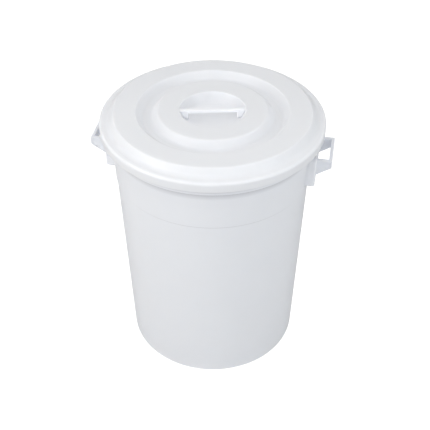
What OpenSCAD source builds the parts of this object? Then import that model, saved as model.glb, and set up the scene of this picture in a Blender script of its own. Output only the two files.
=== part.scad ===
// Plastic open head drum: a round tapered drum with a lift-off lid, two side
// handles plugged into brackets on its wall, and a grip set in the lid's bowl.
// +Z is up, the origin is the centre of the base, and the handles lie along X.

/* [Drum] */
// Diameter at the base
base_d = 378; // [360:2:380]
// Outward lean of the wall, degrees
wall_lean = 2.05; // [1.9:0.05:2.1]
// Wall and floor thickness
wall = 3; // [2.5:0.1:3.2]
// Height of the line where the wall steps out
step_h = 442; // [400:2:450]
// How far the wall steps out there
step_out = 1.8; // [1:0.1:2]
// Height of the underside of the bead below the rim
bead_z = 530; // [528:0.5:532]
// Diameter of that bead
bead_d = 434; // [430:1:436]
// Diameter of the rim
rim_d = 455; // [450:0.5:456]
// Height of the top of the rim
drum_h = 566; // [564:0.5:566]
// Height of the ring that the drum stands on
foot_h = 5; // [4:0.5:7]

/* [Handles] */
// Width of a handle, along the drum's wall
handle_w = 88; // [84:1:90]
// Distance from the drum's axis to a handle's outer face
handle_reach = 252; // [248:1:256]
// Height of the handles' top face
handle_top = 515.5; // [512:0.5:517]
// Height of a handle's bar
bar_h = 17; // [14:1:20]
// Height of an arm where it enters its bracket
arm_h = 37; // [34:1:38]
// Thickness of the bar and the arms
bar_t = 7; // [6:0.5:8]
// Distance from the drum's axis to a bracket's outer face
bracket_reach = 221; // [220:0.5:223]
// Height of a bracket's lower edge
bracket_z = 450; // [446:1:456]
// Width of a bracket
bracket_w = 98; // [96:1:102]

/* [Lid] */
// Diameter of the lid
lid_d = 465; // [463:1:470]
// Thickness of the lid
lid_t = 2.6; // [2.4:0.1:3]
// Height of the skirt's lower edge
skirt_z = 548.5; // [546:0.5:549]
// Diameter of the skirt at its lower edge
skirt_d = 464; // [463:0.5:465]
// Diameter of the raised plateau
plateau_d = 407; // [402:1:410]
// Height of the plateau above the drum's rim
plateau_rise = 19; // [18:0.5:21]
// Outer diameter of the ring groove
groove_d = 314; // [308:1:318]
// Depth of the ring groove
groove_depth = 16; // [14:0.5:17]
// Diameter of the centre disc
disc_d = 227; // [222:1:230]
// Diameter of the bowl in the centre disc
bowl_d = 136; // [132:1:140]
// Depth of the bowl
bowl_depth = 21; // [20:0.5:23]

/* [Grip] */
// Width of the grip's bar
grip_w = 8; // [7:0.5:12]
// Height of the grip's bar
grip_h = 6; // [5:0.5:8]
// Width of the opening under the bar
window_w = 100; // [92:1:102]
// Width of the raised frame around the openings in the grip's faces
frame_w = 3.5; // [2:0.5:5]
// Turn of the lid from the line of the handles, degrees
lid_turn = 12.5; // [0:0.5:90]

/* [Hidden] */
$fn = 96;
plastic = [0.95, 0.955, 0.96];
handle_plastic = [0.9, 0.91, 0.93];

arc_steps = 8;
seat_gap = 0.4;
slot_gap = 0.2;
press_gap = 0.05;

base_r = base_d / 2;
bead_r = bead_d / 2;
rim_r = rim_d / 2;
bead_h = 11;
lip_h = 16;
foot_w = 9;
lean = tan(wall_lean);
step_r = base_r + step_h * lean;
neck_r = base_r + bead_z * lean + step_out;
bracket_root = sqrt(pow(neck_r, 2) - pow(bracket_w / 2, 2));
flare = 7;
shank = wall + 5;
barb_t = 1;
panel_depth = 1.2;
panel_edge = 2.5;

lid_r = lid_d / 2;
skirt_r = skirt_d / 2;
flange_z = drum_h + seat_gap + lid_t;
edge_fillet = 5.5;
slope_w = 12;
groove_slope_w = 13.5;
plateau_r = plateau_d / 2;
plateau_z = drum_h + plateau_rise;
groove_r = groove_d / 2;
disc_r = disc_d / 2;
bowl_r = bowl_d / 2;
bowl_floor_z = plateau_z - bowl_depth;

// Corners of the bowl from its centre to its edge.
bowl = [
    [0, bowl_floor_z, 0],
    [bowl_r - 9, bowl_floor_z, 11],
    [bowl_r, plateau_z, 1.6]
];

// Corners of the drum's outer side from the foot ring to the rim, as
// [radius, height, fillet radius].
drum_outer = [
    [base_r - foot_w, 0, 1.5],
    [base_r, 0, 5],
    [step_r, step_h, 0.5],
    [step_r + step_out, step_h, 0.5],
    [neck_r, bead_z, 1.5],
    [bead_r, bead_z, 1.5],
    [bead_r + bead_h * lean, bead_z + bead_h, 2],
    [bead_r + bead_h * lean, drum_h - wall, 1.5],
    [rim_r - wall, drum_h - wall, 1.5],
    [rim_r - wall, drum_h - lip_h, 1],
    [rim_r, drum_h - lip_h, 1],
    [rim_r, drum_h, 2.5]
];

// Corners of the drum's inner side, from the rim down to the middle of the
// floor and back along the underside to the foot ring.
drum_inner = [
    [bead_r + bead_h * lean - wall, drum_h, 2],
    [bead_r - wall, bead_z + wall, 2],
    [neck_r - wall, bead_z + wall, 2],
    [step_r - wall + step_out, step_h + step_out, 1],
    [step_r - wall, step_h, 1],
    [base_r - wall + foot_h * lean, foot_h + wall, 8],
    [0, foot_h + wall, 0],
    [0, foot_h, 0],
    [base_r - foot_w, foot_h, 2]
];

// Corners of the lid's upper side from the centre of the bowl to the skirt.
lid_top = concat(bowl, [
    [disc_r, plateau_z, 8],
    [disc_r + groove_slope_w, plateau_z - groove_depth, 10],
    [groove_r - groove_slope_w, plateau_z - groove_depth, 9],
    [groove_r, plateau_z, 3],
    [plateau_r, plateau_z, 5],
    [plateau_r + slope_w, flange_z, 12],
    [lid_r, flange_z, edge_fillet],
    [skirt_r, skirt_z, 0]
]);

// Corners of a bracket seen from above, flared where it meets the wall.
bracket_plan = [
    [bracket_root - 3, -bracket_w / 2 - flare, 0],
    [bracket_root + 5, -bracket_w / 2, 5],
    [bracket_reach, -bracket_w / 2, 3],
    [bracket_reach, bracket_w / 2, 3],
    [bracket_root + 5, bracket_w / 2, 5],
    [bracket_root - 3, bracket_w / 2 + flare, 0]
];

// Corners of an arm seen from the side: the bar at its end, a tapered web,
// and a shank that goes into the bracket.
arm_side = [
    [bracket_reach - shank, handle_top - arm_h, 0],
    [bracket_reach, handle_top - arm_h, 0],
    [handle_reach, handle_top - bar_h, 3],
    [handle_reach, handle_top, 2],
    [bracket_reach - shank, handle_top, 0]
];

function unit(v) = v / norm(v);
function turned(v) = [-v.y, v.x];

// The arc that rounds the corner q between p and s with radius r.
function corner_arc(p, q, s, r) =
    let(a = unit(p - q), b = unit(s - q))
    let(half = acos(max(-1, min(1, a * b))) / 2)
    let(cut = min(r / tan(half), 0.49 * norm(p - q), 0.49 * norm(s - q)))
    let(rad = cut * tan(half), mid = q + unit(a + b) * rad / sin(half))
    let(from = q + a * cut - mid, to = q + b * cut - mid)
    let(a0 = atan2(from.y, from.x), turn = atan2(to.y, to.x) - a0)
    let(sweep = turn > 180 ? turn - 360 : turn < -180 ? turn + 360 : turn)
    [for (i = [0 : arc_steps])
        mid + rad * [cos(a0 + sweep * i / arc_steps), sin(a0 + sweep * i / arc_steps)]];

// An open line of corners, each rounded by its own radius.
function rounded(line) = [for (i = [0 : len(line) - 1])
    let(q = [line[i].x, line[i].y])
    each i == 0 || i == len(line) - 1 || line[i].z == 0 ? [q]
        : corner_arc([line[i - 1].x, line[i - 1].y], q, [line[i + 1].x, line[i + 1].y], line[i].z)];

// The same line moved sideways by t, to its right.
function beside(line, t) = [for (i = [0 : len(line) - 1])
    let(before = unit(line[max(i, 1)] - line[max(i, 1) - 1]))
    let(last = min(i, len(line) - 2))
    let(after = unit(line[last + 1] - line[last]))
    let(side = unit(turned(before) + turned(after)))
    line[i] - side * t / (side * turned(after))];

function reversed(line) = [for (i = [len(line) - 1 : -1 : 0]) line[i]];
function off_axis(line) = [for (p = line) [max(p.x, 0), p.y]];

module drum_wall() {
    rotate_extrude($fn = 180)
        polygon(rounded(concat(drum_outer, drum_inner)));
}

// The solid under a bracket's outline, with its lower outer edge rounded.
module bracket_block() {
    intersection() {
        translate([0, 0, bracket_z])
            linear_extrude(bead_z - bracket_z + wall / 2) polygon(rounded(bracket_plan));
        rotate([90, 0, 0]) linear_extrude(2 * bracket_w, center = true)
            polygon(rounded([
                [0, bracket_z, 0],
                [bracket_reach, bracket_z, 5],
                [bracket_reach, bead_z + wall, 0],
                [0, bead_z + wall, 0]
            ]));
    }
}

// A box on the wall, open below, with two slots that take a handle's arms.
module bracket() {
    slot_w = bar_t + 2 * slot_gap;
    difference() {
        bracket_block();
        translate([0, -bracket_w / 2 + wall, bracket_z - 1])
            cube([bracket_reach - wall, bracket_w - 2 * wall, bead_z - bracket_z - wall + 1]);
        for (side = [-1, 1])
            translate([bracket_reach - 2 * wall, side * (handle_w - bar_t) / 2 - slot_w / 2,
                       handle_top - arm_h - slot_gap])
                cube([3 * wall, slot_w, arm_h + 2 * slot_gap]);
        cylinder(h = drum_h, r1 = base_r - wall / 2, r2 = base_r + drum_h * lean - wall / 2, $fn = 180);
    }
}

module drum_body() {
    color(plastic) {
        drum_wall();
        for (turn = [0, 180]) rotate(turn) bracket();
    }
}

// The sunk panel in the outer face of each arm.
module arm_panels() {
    for (side = [-1, 1])
        translate([0, side * (handle_w / 2 - panel_depth / 2 + 0.5), 0])
            rotate([90, 0, 0]) linear_extrude(panel_depth + 1, center = true)
                polygon([
                    [bracket_reach + panel_edge, handle_top - arm_h + 2 * panel_edge],
                    [handle_reach - panel_edge, handle_top - bar_h + panel_edge],
                    [handle_reach - panel_edge, handle_top - panel_edge],
                    [bracket_reach + panel_edge, handle_top - panel_edge]
                ]);
}

// Ridges on the shanks that catch behind the bracket's face.
module barbs() {
    for (side = [-1, 1])
        translate([bracket_reach - shank, side * (handle_w + barb_t) / 2 - barb_t, handle_top - arm_h + 6])
            cube([shank - wall - slot_gap, barb_t * 2, arm_h - 12]);
}

// One loop: two arms and the bar between them.
module handle() {
    color(handle_plastic) {
        difference() {
            rotate([90, 0, 0]) linear_extrude(handle_w, center = true) polygon(rounded(arm_side));
            translate([0, bar_t - handle_w / 2, bracket_z])
                cube([handle_reach - bar_t, handle_w - 2 * bar_t, drum_h]);
            arm_panels();
        }
        barbs();
    }
}

module right_handle() { handle(); }
module left_handle() { rotate(180) handle(); }

module lid_shell() {
    top = rounded(lid_top);
    color(plastic)
        rotate_extrude($fn = 180)
            polygon(off_axis(concat(top, reversed(beside(top, lid_t)))));
}

// The space that the bowl leaves for the grip, filled to the disc's top.
module bowl_filling() {
    rotate_extrude($fn = 180)
        polygon(off_axis(concat(beside(rounded(bowl), -press_gap), [[0, plateau_z]])));
}

// The sunk panels in both faces of the grip, outside the opening's frame.
module grip_panels() {
    for (side = [-1, 1], face = [-1, 1])
        translate([side * (window_w / 2 + frame_w + bowl_r / 2), face * (grip_w / 2 + 0.5),
                   bowl_floor_z + (bowl_depth - frame_w) / 2])
            cube([bowl_r, 2 * panel_depth + 1, bowl_depth - frame_w], center = true);
}

module lid_grip() {
    color(plastic)
        rotate(lid_turn) difference() {
            intersection() {
                bowl_filling();
                translate([-bowl_r, -grip_w / 2, bowl_floor_z - 1])
                    cube([2 * bowl_r, grip_w, bowl_depth + 1]);
            }
            translate([-window_w / 2, -grip_w, bowl_floor_z - bowl_depth])
                cube([window_w, 2 * grip_w, 2 * bowl_depth - grip_h]);
            grip_panels();
        }
}

drum_body();
right_handle();
left_handle();
lid_shell();
lid_grip();
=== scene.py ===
"""Plastic open head drum: a white tapered drum, two side handles, and a lift-off lid with a recessed grip."""

from math import acos, atan2, cos, pi, radians, sin, sqrt, tan

import bmesh
import bpy
from mathutils import Matrix, Vector


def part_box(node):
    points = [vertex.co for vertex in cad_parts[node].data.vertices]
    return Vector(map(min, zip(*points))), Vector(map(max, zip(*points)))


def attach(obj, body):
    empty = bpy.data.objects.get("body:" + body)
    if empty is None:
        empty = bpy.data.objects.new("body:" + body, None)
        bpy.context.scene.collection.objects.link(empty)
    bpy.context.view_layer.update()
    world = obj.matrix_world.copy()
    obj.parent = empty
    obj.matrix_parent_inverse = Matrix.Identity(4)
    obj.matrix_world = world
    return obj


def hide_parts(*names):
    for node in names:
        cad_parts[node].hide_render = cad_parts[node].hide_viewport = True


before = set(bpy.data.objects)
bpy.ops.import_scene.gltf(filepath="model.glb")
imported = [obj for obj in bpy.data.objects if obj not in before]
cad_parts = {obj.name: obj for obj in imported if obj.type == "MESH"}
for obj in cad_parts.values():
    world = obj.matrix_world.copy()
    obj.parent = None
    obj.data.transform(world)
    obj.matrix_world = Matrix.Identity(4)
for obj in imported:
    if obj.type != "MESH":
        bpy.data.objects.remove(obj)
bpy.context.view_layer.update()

# ---------------------------------------------------------------- sizes, in metres

_, drum_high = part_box("drum_body")
loop_low, loop_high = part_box("right_handle")

DRUM_H = drum_high[2]
RIM_R = 0.2275
WALL = 0.003
BASE_R = 0.189
LEAN = tan(radians(2.05))
STEP_H = 0.442
STEP_OUT = 0.0018
BEAD_Z = 0.530
BEAD_R = 0.217
BEAD_H = 0.011
LIP_H = 0.016
FOOT_H = 0.005
FOOT_W = 0.009
STEP_R = BASE_R + STEP_H * LEAN
NECK_R = BASE_R + BEAD_Z * LEAN + STEP_OUT
GATE_R = 0.005
GATE_H = 0.0008

LID_T = 0.0026
LID_R = 0.2325
SKIRT_R = 0.232
SKIRT_Z = 0.5485
FLANGE_Z = DRUM_H + 0.0004 + LID_T
EDGE_FILLET = 0.0055
SLOPE_W = 0.012
GROOVE_SLOPE_W = 0.0135
PLATEAU_R = 0.2035
PLATEAU_Z = DRUM_H + 0.019
GROOVE_R = 0.157
GROOVE_DEPTH = 0.016
DISC_R = 0.1135
BOWL_R = 0.068
BOWL_DEPTH = 0.021
BOWL_Z = PLATEAU_Z - BOWL_DEPTH

GRIP_W = 0.008
GRIP_H = 0.006
WINDOW_W = 0.100
FRAME_W = 0.0035
LID_TURN = 12.5

LOOP_REACH = loop_high[0]
LOOP_TOP = loop_high[2]
LOOP_BOTTOM = loop_low[2]
LOOP_W = 0.088
BAR_H = 0.017
BAR_T = 0.007
BRACKET_REACH = 0.221
BRACKET_Z = 0.450
BRACKET_W = 0.098
BRACKET_FILLET = 0.006
SHANK = WALL + 0.005
PANEL_DEPTH = 0.0012
PANEL_EDGE = 0.0025

CUT_PAST = 0.001
AROUND = 288
ARC_STEP = radians(9)


# ---------------------------------------------------------------- outlines

def corner_arc(p, q, s, r):
    """The arc of radius r that rounds corner q between p and s."""
    a = (p - q).normalized()
    b = (s - q).normalized()
    half = acos(max(-1, min(1, a.dot(b)))) / 2
    cut = min(r / tan(half), 0.49 * (p - q).length, 0.49 * (s - q).length)
    r = cut * tan(half)
    middle = q + (a + b).normalized() * r / sin(half)
    start = q + a * cut - middle
    end = q + b * cut - middle
    first = atan2(start.y, start.x)
    sweep = (atan2(end.y, end.x) - first + pi) % (2 * pi) - pi
    steps = max(3, round(abs(sweep) / ARC_STEP))
    return [middle + r * Vector((cos(first + sweep * i / steps), sin(first + sweep * i / steps)))
            for i in range(steps + 1)]


def rounded(corners):
    """An open line of (x, y, radius) corners, each rounded by its own radius."""
    line = [Vector(c[:2]) for c in corners]
    out = []
    for i, (x, y, r) in enumerate(corners):
        inner = 0 < i < len(corners) - 1 and r > 0
        out += corner_arc(line[i - 1], line[i], line[i + 1], r) if inner else [line[i]]
    return out


def beside(line, t):
    """The line moved sideways by t, to its right."""
    out = []
    for i, p in enumerate(line):
        before = (line[max(i, 1)] - line[max(i, 1) - 1]).normalized()
        j = min(i, len(line) - 2)
        after = (line[j + 1] - line[j]).normalized()
        left = Vector((-after.y, after.x))
        side = (Vector((-before.y, before.x)) + left).normalized()
        out.append(p - side * t / side.dot(left))
    return out


def refined(line, longest):
    """The line with its long stretches split, so that the faces stay near square."""
    out = [line[0]]
    for a, b in zip(line, line[1:]):
        parts = max(1, int((b - a).length / longest))
        out += [a.lerp(b, k / parts) for k in range(1, parts + 1)]
    return out


# ---------------------------------------------------------------- mesh builders

def new_object(name, bm):
    bmesh.ops.remove_doubles(bm, verts=bm.verts, dist=1e-6)
    bmesh.ops.dissolve_degenerate(bm, edges=bm.edges, dist=1e-7)
    bmesh.ops.recalc_face_normals(bm, faces=bm.faces)
    mesh = bpy.data.meshes.new(name)
    bm.to_mesh(mesh)
    bm.free()
    obj = bpy.data.objects.new(name, mesh)
    bpy.context.scene.collection.objects.link(obj)
    return obj


def lathe(name, outline, segments=AROUND):
    """A closed (radius, height) outline turned about Z."""
    bm = bmesh.new()
    rings = []
    turns = [2 * pi * k / segments for k in range(segments)]
    for p in outline:
        if p.x < 1e-6:
            rings.append([bm.verts.new((0, 0, p.y))])
        else:
            rings.append([bm.verts.new((p.x * cos(a), p.x * sin(a), p.y)) for a in turns])
    for a, b in zip(rings, rings[1:] + rings[:1]):
        for k in range(segments):
            n = (k + 1) % segments
            face = [a[k % len(a)], a[n % len(a)], b[n % len(b)], b[k % len(b)]]
            face = list(dict.fromkeys(face))
            if len(face) > 2:
                bm.faces.new(face)
    return new_object(name, bm)


def loft(name, levels):
    """A closed solid through levels, each a list of points with the same count."""
    bm = bmesh.new()
    rings = [[bm.verts.new(p) for p in level] for level in levels]
    count = len(rings[0])
    for a, b in zip(rings, rings[1:]):
        for k in range(count):
            n = (k + 1) % count
            bm.faces.new((a[k], a[n], b[n], b[k]))
    bm.faces.new(rings[0])
    bm.faces.new(rings[-1])
    return new_object(name, bm)


def prism(name, outline, place, low, high):
    """An outline pushed from low to high; place turns (x, y, push) into a point."""
    return loft(name, [[place(p.x, p.y, low) for p in outline], [place(p.x, p.y, high) for p in outline]])


def block(name, low, high):
    """A box between two corners."""
    outline = [Vector(p) for p in (
        (low[0], low[1]), (high[0], low[1]), (high[0], high[1]), (low[0], high[1]))]
    return prism(name, outline, lambda x, y, z: (x, y, z), low[2], high[2])


def apply_modifiers(obj):
    """Makes the modifiers' result the object's own mesh."""
    graph = bpy.context.evaluated_depsgraph_get()
    mesh = bpy.data.meshes.new_from_object(obj.evaluated_get(graph))
    old = obj.data
    obj.modifiers.clear()
    obj.data = mesh
    mesh.name = obj.name
    bpy.data.meshes.remove(old)


def carve(obj, tool, operation="DIFFERENCE"):
    """Cuts tool from obj, or keeps what they share, and deletes tool."""
    mod = obj.modifiers.new("carve", "BOOLEAN")
    mod.operation = operation
    mod.solver = "EXACT"
    mod.object = tool
    bpy.context.view_layer.update()
    apply_modifiers(obj)
    bpy.data.objects.remove(tool)


def soften(obj, width, steps=3, angle=35):
    """Rounds the sharp edges and smooths the shading, with the flats kept flat."""
    bevel = obj.modifiers.new("bevel", "BEVEL")
    bevel.width = width
    bevel.segments = steps
    bevel.limit_method = "ANGLE"
    bevel.angle_limit = radians(angle)
    bevel.use_clamp_overlap = True
    smooth(obj)


def smooth(obj):
    for face in obj.data.polygons:
        face.use_smooth = True
    weighted = obj.modifiers.new("weighted", "WEIGHTED_NORMAL")
    weighted.weight = 60
    weighted.keep_sharp = True
    apply_modifiers(obj)


# ---------------------------------------------------------------- materials

PLASTIC_IOR = 1.49
SCATTER = 0.6
SCATTER_DEPTH = 0.008
SCATTER_TINT = (1.0, 0.95, 0.9)
CLOUD_SHADE = 0.985
WORN_LIGHT = 1.02
# tone of the painted shade below moulded edges, as a fraction of the tint
PAINTED_SHADE = 0.5
SWELL_HEIGHT = 0.00025
GRAIN_HEIGHT = 0.00005


class Nodes:
    """Short calls for building a material's nodes."""

    def __init__(self, name):
        self.material = bpy.data.materials.new(name)
        self.material.use_nodes = True
        self.tree = self.material.node_tree
        self.shader = self.tree.nodes["Principled BSDF"]

    def add(self, kind, **values):
        node = self.tree.nodes.new(kind)
        for key, value in values.items():
            if key in node.inputs:
                node.inputs[key].default_value = value
            else:
                setattr(node, key, value)
        return node

    def link(self, source, target):
        self.tree.links.new(source, target)

    def noise(self, where, scale, detail=3.0, rough=0.55, stretch=(1, 1, 1)):
        """Noise over the object's own coordinates, stretched along its axes."""
        mapping = self.add("ShaderNodeMapping")
        mapping.inputs["Scale"].default_value = stretch
        self.link(where, mapping.inputs["Vector"])
        node = self.add("ShaderNodeTexNoise", Scale=scale, Detail=detail, Roughness=rough)
        self.link(mapping.outputs["Vector"], node.inputs["Vector"])
        return node.outputs["Fac"]

    def ramp(self, source, low, high, to_low=0.0, to_high=1.0):
        node = self.add("ShaderNodeMapRange")
        node.inputs["From Min"].default_value = low
        node.inputs["From Max"].default_value = high
        node.inputs["To Min"].default_value = to_low
        node.inputs["To Max"].default_value = to_high
        self.link(source, node.inputs["Value"])
        return node.outputs["Result"]

    def mix(self, factor, a, b):
        node = self.add("ShaderNodeMix", data_type="RGBA")
        self.link(factor, node.inputs["Factor"])
        for value, socket in ((a, node.inputs[6]), (b, node.inputs[7])):
            if isinstance(value, tuple):
                socket.default_value = (*value, 1)
            else:
                self.link(value, socket)
        return node.outputs[2]

    def sum(self, a, b, operation="ADD"):
        node = self.add("ShaderNodeMath", operation=operation)
        for value, socket in ((a, node.inputs[0]), (b, node.inputs[1])):
            if isinstance(value, (int, float)):
                socket.default_value = value
            else:
                self.link(value, socket)
        return node.outputs[0]


def moulded_plastic(name, tint, shine, streaks, edges=()):
    """White moulded plastic: faint clouding, flow streaks, a fine mould grain and hairline scratches;
    the colour darkens below each moulded edge as painted shade, given as (height, full to, gone by, depth)."""
    n = Nodes(name)
    where = n.add("ShaderNodeTexCoord").outputs["Object"]
    clouds = n.noise(where, 9.0, 4.0)
    flow = n.noise(where, 26.0, 3.0, stretch=streaks)
    grain = n.noise(where, 1400.0, 2.0)
    swell = n.noise(where, 14.0, 1.0, 0.4)
    hair = n.noise(where, 240.0, 2.0, 0.6, stretch=(1.0, 9.0, 0.35))
    scratches = n.ramp(hair, 0.72, 0.78)

    shade = tuple(c * CLOUD_SHADE for c in tint)
    worn = tuple(min(1.0, c * WORN_LIGHT) for c in tint)
    colour = n.mix(n.ramp(clouds, 0.3, 0.7), shade, tint)
    colour = n.mix(n.sum(scratches, 0.2, "MULTIPLY"), colour, worn)
    height = n.add("ShaderNodeSeparateXYZ")
    n.link(where, height.inputs["Vector"])
    # painted shade: below each given edge height the colour is mixed toward a darker tint, standing in for
    # the shadow under that edge
    for edge, full, gone, depth in edges:
        below = n.sum(edge, height.outputs["Z"], "SUBTRACT")
        near = n.sum(n.ramp(below, -0.0003, 0.0003), n.ramp(below, full, gone, depth, 0.0), "MULTIPLY")
        colour = n.mix(near, colour, tuple(c * PAINTED_SHADE for c in tint))
    n.link(colour, n.shader.inputs["Base Color"])

    rough = n.ramp(flow, 0.3, 0.7, shine - 0.03, shine + 0.04)
    rough = n.sum(rough, n.sum(scratches, 0.05, "MULTIPLY"))
    n.link(rough, n.shader.inputs["Roughness"])

    soft = n.add("ShaderNodeBump", Strength=0.3, Distance=SWELL_HEIGHT)
    n.link(swell, soft.inputs["Height"])
    fine = n.add("ShaderNodeBump", Strength=0.12, Distance=GRAIN_HEIGHT)
    n.link(n.sum(grain, n.sum(scratches, 0.8, "MULTIPLY"), "SUBTRACT"), fine.inputs["Height"])
    n.link(soft.outputs["Normal"], fine.inputs["Normal"])
    n.link(fine.outputs["Normal"], n.shader.inputs["Normal"])

    n.shader.inputs["Specular IOR Level"].default_value = 0.5
    n.shader.inputs["IOR"].default_value = PLASTIC_IOR
    n.shader.inputs["Subsurface Weight"].default_value = SCATTER
    n.shader.inputs["Subsurface Radius"].default_value = SCATTER_TINT
    n.shader.inputs["Subsurface Scale"].default_value = SCATTER_DEPTH
    return n.material


# painted shade below the step ledge, on the neck under the bead, and on the bead below the rim lip where the
# lid's skirt shades it: (height, full to, gone by, depth)
drum_painted_shade = (
    (STEP_H, 0.0012, 0.0034, 0.45),
    (BEAD_Z, 0.0, 0.018, 0.73),
    (DRUM_H - LIP_H, 0.011, 0.0165, 0.5),
)
drum_white = moulded_plastic("drum_white", (0.893, 0.907, 0.955), 0.32, (1, 1, 0.08), drum_painted_shade)
lid_white = moulded_plastic("lid_white", (0.915, 0.925, 0.962), 0.33, (1, 1, 1))
loop_white = moulded_plastic("handle_white", (0.825, 0.845, 0.885), 0.34, (1, 0.3, 1))


def dress(obj, body, material, slot, *nodes):
    """Gives a piece its material, its body and the CAD nodes it stands for."""
    obj.data.materials.clear()
    obj.data.materials.append(material)
    for face in obj.data.polygons:
        face.material_index = 0
    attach(obj, body)
    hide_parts(*nodes)


# ---------------------------------------------------------------- drum

def drum_outline():
    """Foot ring, outer wall, rolled rim, inner wall, floor and underside."""
    bead_top = BEAD_R + BEAD_H * LEAN
    corners = [
        (BASE_R - FOOT_W, 0, 0.0015),
        (BASE_R, 0, 0.005),
        (STEP_R, STEP_H, 0.0003),
        (STEP_R + STEP_OUT, STEP_H, 0.0004),
        (NECK_R, BEAD_Z, 0.0015),
        (BEAD_R, BEAD_Z, 0.0015),
        (bead_top, BEAD_Z + BEAD_H, 0.002),
        (bead_top, DRUM_H - WALL, 0.0015),
        (RIM_R - WALL, DRUM_H - WALL, 0.0015),
        (RIM_R - WALL, DRUM_H - LIP_H, 0.001),
        (RIM_R, DRUM_H - LIP_H, 0.001),
        (RIM_R, DRUM_H, 0.0025),
        (bead_top - WALL, DRUM_H, 0.002),
        (BEAD_R - WALL, BEAD_Z + WALL, 0.002),
        (NECK_R - WALL, BEAD_Z + WALL, 0.002),
        (STEP_R - WALL + STEP_OUT, STEP_H + STEP_OUT, 0.001),
        (STEP_R - WALL, STEP_H, 0.001),
        (BASE_R - WALL + FOOT_H * LEAN, FOOT_H + WALL, 0.008),
        (0, FOOT_H + WALL, 0),
        (0, FOOT_H - GATE_H, 0),
        (GATE_R, FOOT_H - GATE_H, 0.0004),
        (GATE_R + GATE_H, FOOT_H, 0.0004),
        (BASE_R - FOOT_W, FOOT_H, 0.002),
        (BASE_R - FOOT_W, 0, 0),
    ]
    line = rounded(corners)
    return refined(line[1:-1], 0.02)


def wall_radius(z):
    """Outer radius of the drum's upper band at a height."""
    return BASE_R + z * LEAN + STEP_OUT


def bracket_level(z, inset, depth=0.0015):
    """A bracket's outline at one height: both flanks flow into the wall, and the back follows it inside."""
    wall = wall_radius(z)
    half = BRACKET_W / 2 - inset
    reach = BRACKET_REACH - inset
    fillet = BRACKET_FILLET
    centre = Vector((sqrt((wall + fillet) ** 2 - (half + fillet) ** 2), half + fillet))
    touch = atan2(-centre.y, -centre.x)
    steps = 7
    flank = [centre + fillet * Vector((cos(a), sin(a)))
             for a in (touch + (-pi / 2 - touch) * k / steps for k in range(steps + 1))]
    corner = corner_arc(flank[-1], Vector((reach, half)), Vector((reach, 0)), 0.003)
    side = flank + corner
    back = atan2(flank[0].y, flank[0].x)
    arc = [(wall - depth) * Vector((cos(a), sin(a))) for a in (back * k / 6 for k in range(-6, 7))]
    outline = [Vector((p.x, p.y)) for p in side] + [Vector((p.x, -p.y)) for p in reversed(side)] + arc
    return [(p.x, p.y, z) for p in outline]


def bracket(name):
    """A box on the wall, open below, with two slots for a handle's arms."""
    edge = 0.0045
    turns = [k * pi / 12 for k in range(7)]
    levels = [bracket_level(BRACKET_Z + edge * (1 - cos(a)), edge * (1 - sin(a))) for a in turns]
    levels.append(bracket_level(BEAD_Z + WALL / 2, 0))
    obj = loft(name, levels)
    hollow = [bracket_level(z, WALL, 0.0005) for z in (BRACKET_Z - CUT_PAST, BEAD_Z - WALL)]
    carve(obj, loft("hollow", hollow))
    slot_gap = 0.0003
    for side in (-1, 1):
        middle = side * (LOOP_W - BAR_T) / 2
        half = BAR_T / 2 + slot_gap
        carve(obj, block("slot", (BRACKET_REACH - 2 * WALL, middle - half, LOOP_BOTTOM - slot_gap),
                         (BRACKET_REACH + WALL, middle + half, LOOP_TOP + slot_gap)))
    soften(obj, 0.0004, 2, 50)
    return obj


drum = lathe("drum_wall", drum_outline())
smooth(drum)
dress(drum, "drum", drum_white, "drum_plastic", "drum_body")
for name, turn in (("bracket_right", 0), ("bracket_left", pi)):
    piece = bracket(name)
    piece.data.transform(Matrix.Rotation(turn, 4, "Z"))
    dress(piece, "drum", drum_white, "drum_plastic", "drum_body")


# ---------------------------------------------------------------- handles

def arm_panel(side):
    """The sunk panel in an arm's outer face."""
    outline = [Vector(p) for p in (
        (BRACKET_REACH + PANEL_EDGE, LOOP_BOTTOM + 2 * PANEL_EDGE),
        (LOOP_REACH - PANEL_EDGE, LOOP_TOP - BAR_H + PANEL_EDGE),
        (LOOP_REACH - PANEL_EDGE, LOOP_TOP - PANEL_EDGE),
        (BRACKET_REACH + PANEL_EDGE, LOOP_TOP - PANEL_EDGE))]
    outer = side * LOOP_W / 2
    inner = outer - side * PANEL_DEPTH
    return prism("panel", outline, lambda x, z, y: (x, y, z), inner, outer + side * 2 * CUT_PAST)


def loop(name):
    """A handle: two tapered arms and the bar between them."""
    side_view = rounded([
        (BRACKET_REACH - SHANK, LOOP_BOTTOM, 0),
        (BRACKET_REACH, LOOP_BOTTOM, 0),
        (LOOP_REACH, LOOP_TOP - BAR_H, 0.003),
        (LOOP_REACH, LOOP_TOP, 0.002),
        (BRACKET_REACH - SHANK, LOOP_TOP, 0)])
    obj = prism(name, side_view, lambda x, z, y: (x, y, z), -LOOP_W / 2, LOOP_W / 2)
    carve(obj, block("opening", (BRACKET_REACH - 2 * SHANK, BAR_T - LOOP_W / 2, BRACKET_Z),
                     (LOOP_REACH - BAR_T, LOOP_W / 2 - BAR_T, DRUM_H)))
    for side in (-1, 1):
        carve(obj, arm_panel(side))
    soften(obj, 0.0011, 3, 30)
    return obj


for name, turn in (("right", 0), ("left", pi)):
    piece = loop("loop_" + name)
    piece.data.transform(Matrix.Rotation(turn, 4, "Z"))
    dress(piece, "drum", loop_white, "handle_plastic", name + "_handle")


# ---------------------------------------------------------------- lid

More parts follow.
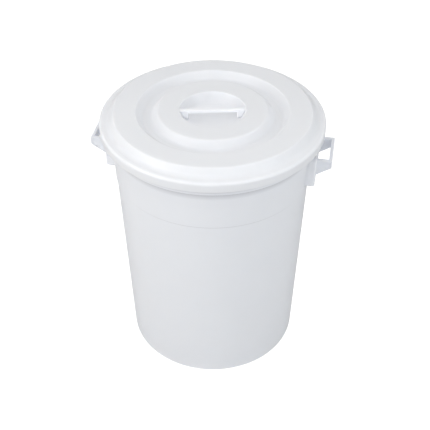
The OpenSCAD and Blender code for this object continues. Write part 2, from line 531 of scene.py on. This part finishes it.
bowl = [
    (0, BOWL_Z, 0),
    (BOWL_R - 0.009, BOWL_Z, 0.011),
    (BOWL_R, PLATEAU_Z, 0.0016),
]
lid_top = bowl + [
    (DISC_R, PLATEAU_Z, 0.008),
    (DISC_R + GROOVE_SLOPE_W, PLATEAU_Z - GROOVE_DEPTH, 0.010),
    (GROOVE_R - GROOVE_SLOPE_W, PLATEAU_Z - GROOVE_DEPTH, 0.009),
    (GROOVE_R, PLATEAU_Z, 0.003),
    (PLATEAU_R, PLATEAU_Z, 0.005),
    (PLATEAU_R + SLOPE_W, FLANGE_Z, 0.012),
    (LID_R, FLANGE_Z, EDGE_FILLET),
    (SKIRT_R, SKIRT_Z, 0),
]


def lid_outline():
    top = refined(rounded(lid_top), 0.012)
    under = beside(top, LID_T)
    under[0].x = 0
    return top + list(reversed(under))


def grip():
    """A bar on two end blocks that fill the bowl's sides."""
    side = beside(rounded(bowl), -0.00005)
    side[0].x = 0
    obj = lathe("grip", side + [Vector((0, PLATEAU_Z))], AROUND)
    carve(obj, block("band", (-BOWL_R, -GRIP_W / 2, BOWL_Z - CUT_PAST),
                     (BOWL_R, GRIP_W / 2, PLATEAU_Z + CUT_PAST)), "INTERSECT")
    carve(obj, block("window", (-WINDOW_W / 2, -GRIP_W, BOWL_Z - BOWL_DEPTH),
                     (WINDOW_W / 2, GRIP_W, PLATEAU_Z - GRIP_H)))
    for end in (-1, 1):
        for face in (-1, 1):
            low = WINDOW_W / 2 + FRAME_W
            xs = sorted((end * low, end * BOWL_R))
            ys = sorted((face * (GRIP_W / 2 - PANEL_DEPTH), face * GRIP_W))
            carve(obj, block("panel", (xs[0], ys[0], BOWL_Z - CUT_PAST), (xs[1], ys[1], PLATEAU_Z - FRAME_W)))
    soften(obj, 0.0007, 3, 35)
    obj.data.transform(Matrix.Rotation(radians(LID_TURN), 4, "Z"))
    return obj


lid = lathe("lid", lid_outline())
smooth(lid)
dress(lid, "lid", lid_white, "lid_plastic", "lid_shell")
dress(grip(), "lid", lid_white, "lid_plastic", "lid_grip")


# ---------------------------------------------------------------- floor, light, camera

CAMERA_TURN = 10.3
FLOOR_HALF = 6.0
FLOOR_TONE = 0.4
FLOOR_GLOW = 1.0
FLOOR_LIGHT = 0.15
DOME_TOP = 0.95
DOME_LOW = 0.37
DOME_FROM = 0.5
DOME_FULL = 0.8


def studio_floor():
    """A plain white floor that glows to the eye, as a lit sweep does, and throws a little light back."""
    bm = bmesh.new()
    bmesh.ops.create_grid(bm, x_segments=12, y_segments=12, size=FLOOR_HALF)
    floor = new_object("floor", bm)
    floor.location.z = -0.0005
    n = Nodes("floor_white")
    n.shader.inputs["Base Color"].default_value = (FLOOR_TONE, FLOOR_TONE, FLOOR_TONE, 1)
    n.shader.inputs["Roughness"].default_value = 0.9
    n.shader.inputs["Specular IOR Level"].default_value = 0.1
    n.shader.inputs["Emission Color"].default_value = (1, 1, 1, 1)
    seen = n.add("ShaderNodeLightPath").outputs["Is Camera Ray"]
    n.link(n.ramp(seen, 0.0, 1.0, FLOOR_LIGHT, FLOOR_GLOW), n.shader.inputs["Emission Strength"])
    floor.data.materials.append(n.material)


def softbox(name, azimuth, elevation, distance, size, power, colour):
    """A square area light that faces the drum's upper half; azimuth is from the camera's side."""
    light = bpy.data.lights.new(name, "AREA")
    light.shape = "SQUARE"
    light.size = size
    light.energy = power
    light.color = colour
    obj = bpy.data.objects.new(name, light)
    aim = Vector((0, 0, DRUM_H * 0.7))
    a = radians(azimuth + CAMERA_TURN)
    e = radians(elevation)
    obj.location = aim + distance * Vector((sin(a) * cos(e), -cos(a) * cos(e), sin(e)))
    obj.rotation_euler = (aim - obj.location).to_track_quat("-Z", "Y").to_euler()
    bpy.context.scene.collection.objects.link(obj)


def studio_world():
    """A white backdrop to the eye; it lights the drum evenly, and more from overhead, with a soft change."""
    world = bpy.data.worlds.new("studio")
    world.use_nodes = True
    tree = world.node_tree
    background = tree.nodes["Background"]
    background.inputs["Color"].default_value = (1, 1, 1, 1)
    where = tree.nodes.new("ShaderNodeTexCoord")
    split = tree.nodes.new("ShaderNodeSeparateXYZ")
    dome = tree.nodes.new("ShaderNodeMapRange")
    dome.interpolation_type = "SMOOTHSTEP"
    dome.inputs["From Min"].default_value = DOME_FROM
    dome.inputs["From Max"].default_value = DOME_FULL
    dome.inputs["To Min"].default_value = DOME_LOW
    dome.inputs["To Max"].default_value = DOME_TOP
    path = tree.nodes.new("ShaderNodeLightPath")
    show = tree.nodes.new("ShaderNodeMath")
    show.operation = "MAXIMUM"
    tree.links.new(where.outputs["Generated"], split.inputs["Vector"])
    tree.links.new(split.outputs["Z"], dome.inputs["Value"])
    tree.links.new(dome.outputs["Result"], show.inputs[0])
    tree.links.new(path.outputs["Is Camera Ray"], show.inputs[1])
    tree.links.new(show.outputs["Value"], background.inputs["Strength"])
    bpy.context.scene.world = world


studio_floor()
softbox("key", -60, 15, 2.2, 1.4, 14.0, (1.0, 1.0, 1.0))
softbox("key_high", -58, 39, 2.2, 1.4, 8.5, (1.0, 0.98, 0.96))
softbox("front", 0, 22, 2.6, 1.4, 5.5, (0.93, 0.965, 1.0))
softbox("fill", 50, 15, 2.2, 1.4, 10.5, (0.93, 0.965, 1.0))
softbox("fill_high", 45, 38, 2.2, 1.4, 4.5, (0.96, 0.98, 1.0))
softbox("back_left", -145, 40, 3.0, 1.8, 1.5, (1.0, 1.0, 1.0))
softbox("back_right", 120, 35, 3.0, 1.8, 2.2, (1.0, 1.0, 1.0))
studio_world()
bpy.context.scene.view_settings.view_transform = "Standard"

CAMERA_SIDE = -0.0007
CAMERA_OUT = 1.491
CAMERA_UP = 1.525
CAMERA_PITCH = 39.27
CAMERA_YAW = 0.21
LENS = 71.9
SENSOR = 36

camera_data = bpy.data.cameras.new("camera")
camera_data.lens = LENS
camera_data.sensor_width = SENSOR
camera = bpy.data.objects.new("camera", camera_data)
turned = Matrix.Rotation(radians(CAMERA_TURN), 4, "Z")
camera.location = turned @ Vector((CAMERA_SIDE, -CAMERA_OUT, CAMERA_UP))
camera.rotation_euler = (radians(90 - CAMERA_PITCH), 0, radians(CAMERA_TURN - CAMERA_YAW))
bpy.context.scene.collection.objects.link(camera)
bpy.context.scene.camera = camera
